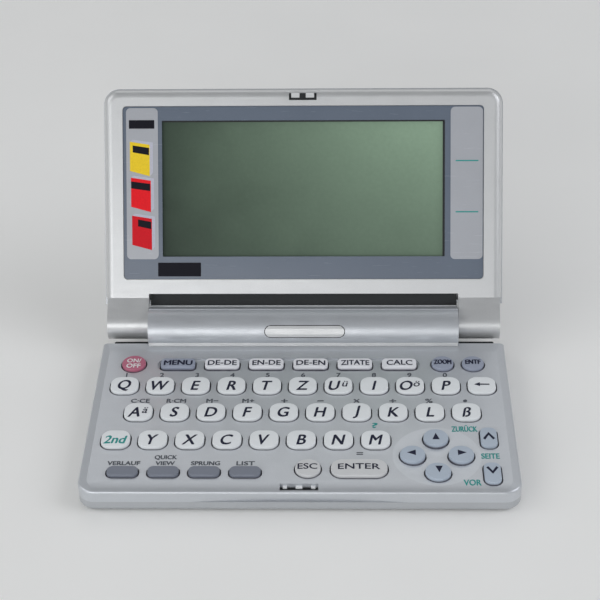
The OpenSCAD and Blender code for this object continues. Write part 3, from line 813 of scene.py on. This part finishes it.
@dataclass(frozen=True)
class Places:
    """The frame of the deck and of the lid, round the hinge pins."""

    axis: Vector = field(default_factory=lambda: sum(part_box("hinge_pins"), Vector()) / 2)
    lid_angle: float = 121.8

    def on_deck(self, x: float, d: float, z: float = 0.0) -> Matrix:
        """A place over the deck, x to the right and d in front of the hinge axis, in millimetres."""
        return Matrix.Translation((x * MM, self.axis.y - d * MM, z * MM))

    def on_lid(self, x: float = 0.0, up: float = 0.0, n: float = 0.0) -> Matrix:
        """A place on the lid, facing the user.

        Args:
            x: to the right, in millimetres.
            up: away from the hinge axis, in millimetres.
            n: depth behind the hinge axis, in millimetres.

        Returns:
            The place, with its z towards the user.
        """
        turn = Matrix.Rotation(math.radians(180 - self.lid_angle), 4, "X")
        return Matrix.Translation(self.axis) @ turn @ Matrix.Translation((x * MM, up * MM, -n * MM))


PLACES = Places()


@dataclass
class Keyboard:
    """The keys' finishes and what is printed on and beside them."""

    pitch: float = 10.92
    first_x: float = -54.3
    row_d: tuple[float, float, float] = (28.3, 41.2, 54.1)
    letter: float = 4.6
    sink: float = 0.6
    bar_pitch: float = 13.77
    first_bar_x: float = -38.7
    bar_d: float = 17.3
    round_d: float = 17.0
    front_d: float = 66.6
    digits_d: float = 22.4
    signs_d: float = 35.2
    captions_d: float = 64.2
    cross: Pair = (39.75, 60.85)
    rows: tuple[str, str, str] = ("q w e r t z u i o p backspace", "a s d f g h j k l eszett",
                                  "second y x c v b n m")

    def letters(self) -> dict[str, Pair]:
        """Places of the keys in the three letter rows.

        Returns:
            Name, x and distance of each key.
        """
        places = {}
        for row, (names, d) in enumerate(zip(self.rows, self.row_d)):
            start = self.first_x + (self.pitch / 2 if row == 1 else 0)
            places.update({name: (start + i * self.pitch, d) for i, name in enumerate(names.split())})
        return places

    def legend_for(self, name: str) -> list[Legend]:
        """What is printed on a letter key.

        Args:
            name: the key's name.

        Returns:
            Its legends, of which the backspace key has none.
        """
        if name == "backspace":
            return []
        if name == "second":
            return [Legend("2nd", 3.6, Slant.ITALIC, weight=0.12, width=6.7)]
        raised = {"a": "ä", "u": "ü", "o": "ö"}.get(name)
        big = Legend("ß" if name == "eszett" else name.upper(), self.letter, Slant.ITALIC, 0.80, 0.12,
                     (-1.2, 0) if raised else (0, 0))
        return [big, Legend(raised, 3.1, Slant.ITALIC, 0.92, 0.04, (2.0, 0.8))] if raised else [big]

    def print_on(self, key: str, at: Pair, legends: list[Legend], ink: Finish) -> None:
        """Prints legends on a key's crown.

        Args:
            key: the key's node, which is also its body.
            at: x and distance of the legends' middle.
            legends: what is printed.
            ink: its colour.
        """
        parts = [stroke for legend in legends for stroke in legend.strokes(PLACES.on_deck(*at, PRINT_Z))]
        dress(Bench.printed("legend_" + key.removeprefix("key_"), parts, key), ink, key)

    def sign(self, key: str, points: list[Pair], at: Pair) -> None:
        """Prints a sign with straight edges on a key.

        Args:
            key: the key's node and body.
            points: the sign's corners round its middle, in millimetres.
            at: x and distance of its middle.
        """
        piece = Bench.outline("legend_" + key.removeprefix("key_"), points, PLACES.on_deck(*at, PRINT_Z))
        Bench.lay_on(piece, key)
        dress(piece, NAVY_INK, key)

    def build(self) -> None:
        """Colours the keys and prints every legend."""
        for name, (x, d) in self.letters().items():
            coat("key_" + name, WHITE_KEY)
            if name != "backspace":
                self.print_on("key_" + name, (x, d + self.sink), self.legend_for(name),
                              TEAL_INK if name == "second" else NAVY_INK)
        self.function_keys()
        self.cursor_keys()
        self.captions()

    def function_keys(self) -> None:
        """The upper row, escape, enter and the shortcut caps."""
        coat("key_power", RED_KEY)
        lines = [Legend(word, 2.0, weight=0.06, width=4.3, at=(0, up))
                 for word, up in (("ON/", 1.0), ("OFF", -1.6))]
        self.print_on("key_power", (-52.5, self.bar_d), lines, WHITE_INK)
        words = {"menu": ("MENU", 8.7), "f1": ("DE-DE", 8.9), "f2": ("EN-DE", 8.7), "f3": ("DE-EN", 8.9),
                 "f4": ("ZITATE", 8.7), "calc": ("CALC", 7.9)}
        for i, (name, (word, width)) in enumerate(words.items()):
            coat("key_" + name, BLUE_KEY if name == "menu" else BAR_KEY)
            legend = Legend(word, 2.5, weight=0.12 if name == "menu" else 0.06, width=width)
            place = (i * self.bar_pitch + self.first_bar_x, self.bar_d)
            self.print_on("key_" + name, place, [legend], NAVY_INK)
        for name, word, x, width in (("zoom", "ZOOM", 43.5, 5.3), ("delete", "ENTF", 52.9, 4.6)):
            coat("key_" + name, BLUE_KEY)
            legend = Legend(word, 2.3, weight=0.12, width=width)
            self.print_on("key_" + name, (x, self.round_d), [legend], NAVY_INK)
        for name, word, x, width in (("escape", "ESC", 2.3, 5.6), ("enter", "ENTER", 17.1, 12.0)):
            coat("key_" + name, PALE_KEY)
            legend = Legend(word, 2.5, weight=0.04, width=width)
            self.print_on("key_" + name, (x, self.front_d), [legend], NAVY_INK)
        coat("shortcut_keys", GREY_KEY)

    def cursor_keys(self) -> None:
        """Arrow keys with solid triangles, page keys with chevrons, and the backspace arrow."""
        triangles = {"up": (0, 7.75, 0, 2.1, 2.9), "left": (-7.4, 0.35, 90, 2.4, 2.5),
                     "down": (0.3, -7.0, 180, 2.1, 2.9), "right": (7.3, 0.35, 270, 2.4, 2.5)}
        for name, (dx, dy, turn, wide, tall) in triangles.items():
            coat("key_" + name, ARROW_KEY)
            c, s = math.cos(math.radians(turn)), math.sin(math.radians(turn))
            corners = [(-wide / 2, -tall / 2), (wide / 2, -tall / 2), (0, tall / 2)]
            self.sign("key_" + name, [(x * c - y * s, x * s + y * c) for x, y in corners],
                      (self.cross[0] + dx, self.cross[1] - dy))
        chevron = [(-1.75, -1.2), (0, 1.6), (1.75, -1.2), (1.15, -1.75), (0, 0.35), (-1.15, -1.75)]
        for name, flip, d in (("page_up", 1, 52.9), ("page_down", -1, 68.3)):
            coat("key_" + name, ARROW_KEY)
            self.sign("key_" + name, [(x, y * flip) for x, y in chevron], (55.25, d))
        arrow = [(-2.3, 0), (-0.6, 0.9), (-0.6, 0.25), (2.3, 0.25), (2.3, -0.25), (-0.6, -0.25), (-0.6, -0.9)]
        self.sign("key_backspace", arrow, (54.9, 28.4))

    def captions(self) -> None:
        """Digits, calculator signs and captions on the deck."""
        places = self.letters()
        grey = [(digit, 2.1, places[key][0], self.digits_d, 0)
                for digit, key in zip("1234567890", "qwertzuiop")]
        signs = (("C·CE", 1.9, 5.6), ("R·CM", 1.9, 5.8), ("M−", 2.0, 3.5), ("M+", 2.0, 3.5),
                 ("+", 2.6, 1.9), ("−", 3.2, 1.8), ("×", 3.0, 1.7), ("÷", 2.8, 2.0),
                 ("%", 2.1, 2.1), ("•", 3.6, 1.1))
        grey += [(sign, height, places[key][0], self.signs_d, width)
                 for (sign, height, width), key in zip(signs, [*"asdfghjkl", "eszett"])]
        grey += [("=", 2.5, 17.4, 59.8, 1.8), ("VERLAUF", 1.8, -50.9, self.captions_d, 9.4),
                 ("QUICK", 1.8, -38.9, 61.7, 6.4), ("VIEW", 1.7, -38.9, self.captions_d, 5.5),
                 ("SPRUNG", 1.8, -27.2, self.captions_d, 8.3), ("LIST", 1.8, -15.6, self.captions_d, 5.2)]
        teal = [("?", 2.4, 22.0, 46.9, 1.6), ("ZURÜCK", 2.5, 48.4, 48.3, 7.5),
                ("SEITE", 2.4, 55.2, 60.9, 5.2), ("VOR", 2.4, 49.3, 72.4, 4.9)]
        for name, ink, entries in (("deck_print_grey", GREY_INK, grey), ("deck_print_teal", TEAL_INK, teal)):
            parts = []
            for text, height, x, d, width in entries:
                legend = Legend(text, height, stretch=0.95, weight=0.08, width=width)
                parts += legend.strokes(PLACES.on_deck(x, d, PRINT_Z))
            dress(Bench.printed(name, parts, "base_top_case"), ink, "base")


@dataclass
class Base:
    """Casing of the base, its barrel and what is inside."""

    badge_size: Pair = (25.5, 4.6)
    badge_tilt: float = 63.0
    barrel_r: float = 6.9
    barrel_half: float = 48.8
    foot: tuple[Pair, ...] = ((6.5, 8.0), (7.15, 8.0), (7.05, 8.5), (6.86, 9.1), (6.5, 9.1))
    notch_size: Pair = (11.8, 7.6)
    notch_at: tuple[float, float, float] = (55.1, 1.6, 2.6)
    tooth_d: float = 73.3
    tooth_z: float = 6.8

    def build(self) -> None:
        """Colours the solids and adds the bare badge on the barrel."""
        coat("base_top_case", DECK)
        for node in ("base_bottom_case", "battery_cover"):
            coat(node, CASE)
        for node, finish in (("rubber_feet", RUBBER), ("keypad_mat", SILICONE), ("main_board", SOLDER_MASK),
                             ("base_screws", STEEL), ("batteries", SLEEVE)):
            coat(node, finish)
        self.badge()
        self.notch_shade_plates()
        self.barrel_foot()
        self.latch_teeth()

    def notch_shade_plates(self) -> None:
        """Dark plate under each of the lid's knuckles, painted shade in the gap below it."""
        x, d, z = self.notch_at
        for side, name in ((-1, "notch_shade_left"), (1, "notch_shade_right")):
            dress(Bench.plate(name, self.notch_size, 0.6, 0.3, PLACES.on_deck(side * x, d, z)), SHADE_BLACK, "base")

    def barrel_foot(self) -> None:
        """Small fillet where the barrel meets the deck."""
        along_x = Matrix(((0, 0, 1, 0), (-1, 0, 0, 0), (0, 1, 0, 0), (0, 0, 0, 1)))
        place = Matrix.Translation((-self.barrel_half * MM, PLACES.axis.y, 0)) @ along_x
        dress(Bench.outline("barrel_foot", self.foot, place, 2 * self.barrel_half), LID_FRONT, "base")

    def latch_teeth(self) -> None:
        """Three light teeth on the back wall of the latch slot."""
        teeth = [Bench.plate("tooth", (wide, 0.9), 0.1, 0.55, PLACES.on_deck(x, self.tooth_d, self.tooth_z))
                 for x, wide in ((-4.05, 1.25), (0.0, 1.9), (4.05, 1.25))]
        dress(Bench.joined("latch_teeth", teeth), LIGHT_TRIM_AND_HIGHLIGHT, "base")

    def badge(self) -> None:
        """A bare oval on the barrel with a fine dark outline."""
        width, height = self.badge_size
        place = (Matrix.Translation(PLACES.axis) @ Matrix.Rotation(math.radians(self.badge_tilt), 4, "X")
                 @ Matrix.Translation((0.55 * MM, 0, self.barrel_r * MM + 0.5 * MM)))
        for name, finish, grow, gap in (("badge_outline", BLACK_INK, 0.0, 0.03),
                                        ("badge_plate", LID_FRONT, -0.25, 0.06)):
            size = (width + 2 * grow, height + 2 * grow)
            piece = Bench.plate(name, size, size[1] / 2 - 0.01, 0.0, place, cuts=12)
            Bench.modify(piece, "SHRINKWRAP", wrap_method="NEAREST_SURFACEPOINT",
                         target=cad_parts["base_top_case"], wrap_mode="ABOVE_SURFACE", offset=gap * MM)
            Bench.modify(piece, "SOLIDIFY", thickness=gap * MM, offset=-1)
            dress(piece, finish, "base")


@dataclass
class Lid:
    """The lid: its frame and cover, the printed window and the display behind it."""

    window: Pair = (114.4, 54.9)
    window_mid: float = 43.15
    window_r: float = 1.2
    window_n: float = 0.22
    opening: Pair = (89.8, 43.2)
    opening_mid: Pair = (0.1, 44.5)

    def build(self) -> None:
        """Colours the solids and makes the window with its prints."""
        coat("lid_frame", LID_FRONT)
        coat("lid_cover", CASE)
        coat("hinge_pins", STEEL)
        coat("display_panel", DISPLAY)
        self.window_print()
        self.side_panels()
        self.display_edge_shadow()
        # black sheets of painted shade: in the recess between the frame's lower edge and the barrel, and in
        # the latch pocket
        self.flat("slot_shade_sheet", SHADE_BLACK, (-49.0, 6.45, 49.0, 11.0), 0.1, 0.1, 3.05)
        self.flat("pocket_shade_sheet", SHADE_BLACK, (-4.35, 72.5, 4.35, 74.7), 0.1, 0.05, 0.85)
        # a light strip, a painted highlight along the gap above the barrel
        self.flat("slot_painted_highlight", LIGHT_TRIM_AND_HIGHLIGHT, (-48.9, 6.45, 48.9, 7.15), 0.05, 0.04, 2.97)

    def window_print(self) -> None:
        """The printed window, open over the display."""
        plate = Bench.plate("window_print", self.window, self.window_r, 1.0,
                            PLACES.on_lid(0, self.window_mid, self.window_n + 1.0))
        hole = Bench.plate("hole", self.opening, 0.3, 3.0,
                           PLACES.on_lid(*self.opening_mid, self.window_n + 2.0))
        Bench.cut(plate, hole)
        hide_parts("display_window")
        dress(plate, WINDOW_BLUE, "lid")

    def display_edge_shadow(self) -> None:
        """Black ring round the display, a painted shadow that shows at the opening's upper and right edges.
        """
        width, height = self.opening
        depth = self.window_n + 1.09
        ring = Bench.plate("display_edge_shadow", (width + 3, height + 2), 0.5, 0.07,
                           PLACES.on_lid(*self.opening_mid, depth))
        hole = Bench.plate("hole", (width - 0.3, height - 0.2), 0.3, 1.0,
                           PLACES.on_lid(self.opening_mid[0] - 0.5, self.opening_mid[1] - 0.35, depth + 0.5))
        Bench.cut(ring, hole)
        dress(ring, SHADE_BLACK, "lid")

    def flat(self, name: str, finish: Finish, box: Box, radius: float, thick: float = 0.03,
             n: float | None = None) -> None:
        """A printed field on the window, or another thin flat part of the lid.

        Args:
            name: the piece's name.
            finish: its colour.
            box: left, lower, right and upper edge in the lid's frame, in millimetres.
            radius: of its corners.
            thick: its thickness.
            n: depth of its back, or None for the window's face.
        """
        left, low, right, high = box
        place = PLACES.on_lid((left + right) / 2, (low + high) / 2, self.window_n if n is None else n)
        dress(Bench.plate(name, (right - left, high - low), radius, thick, place), finish, "lid")

    def side_panels(self) -> None:
        """Light panels beside the display with plain tiles and rules, and two bare plates."""
        self.flat("side_panel_left", PANEL_GREY, (-56.2, 22.1, -46.1, 70.1), 1.4)
        self.flat("side_panel_right", PANEL_GREY, (46.8, 22.0, 57.0, 70.2), 1.4)
        self.flat("plate_upper", BLACK_INK, (-55.3, 63.6, -47.2, 66.3), 0.1, 0.05)
        self.flat("plate_lower", BLACK_INK, (-46.3, 16.6, -32.6, 21.0), 0.1, 0.05)
        books = ((BOOK_YELLOW, -55.05, 59.5, 0.9), (BOOK_RED, -54.75, 48.1, 0.0),
                 (BOOK_CRIMSON, -54.5, 36.0, 1.9))
        for i, (finish, left, top, label) in enumerate(books):
            self.book(f"book_{i + 1}", finish, left, top, label)
        for i, up in enumerate((53.2, 37.0)):
            self.flat(f"rule_{i + 1}", TEAL_INK, (48.4, up - 0.2, 55.6, up + 0.2), 0.05, 0.05)

    def book(self, name: str, finish: Finish, left: float, top: float, label: float) -> None:
        """A plain book printed at a slant: pages, cover and a bare label.

        Args:
            name: the print's name.
            finish: colour of the cover.
            left: left edge of the cover in the lid's frame, in millimetres.
            top: its upper left corner.
            label: from the cover's left edge to the label.
        """
        shapes = (("pages", PAPER, [(0, 0), (0.9, 0.6), (7.3, -0.3), (7.3, -9.9), (6.3, -11.0), (6.3, -1.0)]),
                  ("cover", finish, [(0, 0), (6.3, -1.0), (6.3, -11.0), (0, -9.3)]),
                  ("label", BLACK_INK, [(label, -1.2), (6.1, -2.0), (6.1, -4.3), (label, -3.4)]))
        for layer, (part, ink, points) in enumerate(shapes):
            place = PLACES.on_lid(left, top, self.window_n - 0.03)
            dress(Bench.outline(f"{name}_{part}", points[::-1], place, 0.02 + 0.01 * layer), ink, "lid")


@dataclass
class Studio:
    """Table, light and camera."""

    position: Vector = field(default_factory=lambda: Vector((0.01169, -0.42353, 0.32820)))
    right: Vector = field(default_factory=lambda: Vector((0.99972, 0.01857, -0.01442)))
    ahead: Vector = field(default_factory=lambda: Vector((-0.02348, 0.81899, -0.57333)))
    lens: float = 102.0
    aim: Vector = field(default_factory=lambda: Vector((0, 0, 0.03)))
    table_side: float = 8.0
    sky: tuple[float, float, float, float] = (0.96, 0.98, 1.0, 1.0)
    ceiling: Pair = (0.55, 0.98)
    horizon: float = 0.38
    zenith: float = 0.14

    def build(self) -> None:
        """Sets up the whole studio."""
        self.table()
        self.camera()
        self.lamp("window_light", (-0.45, -1.12, 0.42), (1.3, 0.6), 5.3)
        self.lamp("left_light", (-1.0, -0.15, 0.80), (0.9, 0.9), 3.0)
        self.lamp("right_light", (1.0, -0.15, 0.80), (0.9, 0.9), 4.8, (0.95, 0.96, 1.0))
        self.lamp("back_light", (0.1, 1.0, 1.15), (1.5, 0.9), 2.4)
        self.surroundings()
        bpy.context.scene.view_settings.view_transform = "Standard"

    def table(self) -> None:
        """A plain pale table top."""
        bpy.ops.object.select_all(action="DESELECT")
        bpy.ops.mesh.primitive_plane_add(size=self.table_side)
        top = Bench.named("table_top", Matrix.Identity(4))
        top.data.materials.append(TABLE_TOP.material())

    def camera(self) -> None:
        """The camera of the photo."""
        bpy.ops.object.camera_add()
        camera = bpy.context.active_object
        right, ahead = self.right.normalized(), self.ahead.normalized()
        up = right.cross(ahead).normalized()
        turn = Matrix((right, up, -ahead)).transposed().to_4x4()
        camera.matrix_world = Matrix.Translation(self.position) @ turn
        camera.data.lens = self.lens
        camera.data.sensor_width = 36.0
        camera.data.clip_start = 0.01
        bpy.context.scene.camera = camera

    def lamp(self, name: str, at: tuple[float, float, float], size: Pair, watts: float,
             colour: Colour = (1.0, 1.0, 1.0)) -> None:
        """A soft box that faces the object.

        Args:
            name: the lamp's name.
            at: its place in metres.
            size: its width and height in metres.
            watts: its power.
            colour: of its light.
        """
        bpy.ops.object.light_add(type="AREA", location=at)
        lamp = bpy.context.active_object
        lamp.name = name
        lamp.data.shape = "RECTANGLE"
        lamp.data.size, lamp.data.size_y = size
        lamp.data.energy = watts
        lamp.data.color = colour
        lamp.rotation_euler = (self.aim - Vector(at)).to_track_quat("-Z", "Y").to_euler()

    def surroundings(self) -> None:
        """A bright horizon under a dim ceiling, slightly cool."""
        world = bpy.data.worlds.new("surroundings")
        tree = Tree(world)
        up = tree.coordinate("Z", tree.node("ShaderNodeTexCoord").outputs["Generated"])
        strength = tree.fade(up, *self.ceiling, self.horizon, self.zenith)
        sky = tree.node("ShaderNodeBackground", None, {"Color": self.sky, "Strength": strength})
        tree.node("ShaderNodeOutputWorld", None, {"Surface": sky.outputs[0]})
        bpy.context.scene.world = world


def main() -> None:
    """Builds every sub-assembly in order."""
    for part in (Studio(), Base(), Keyboard(), Lid()):
        LOG.info("building %s", type(part).__name__)
        part.build()


if __name__ == "__main__":
    logging.basicConfig(level=logging.INFO, format="%(message)s")
    main()
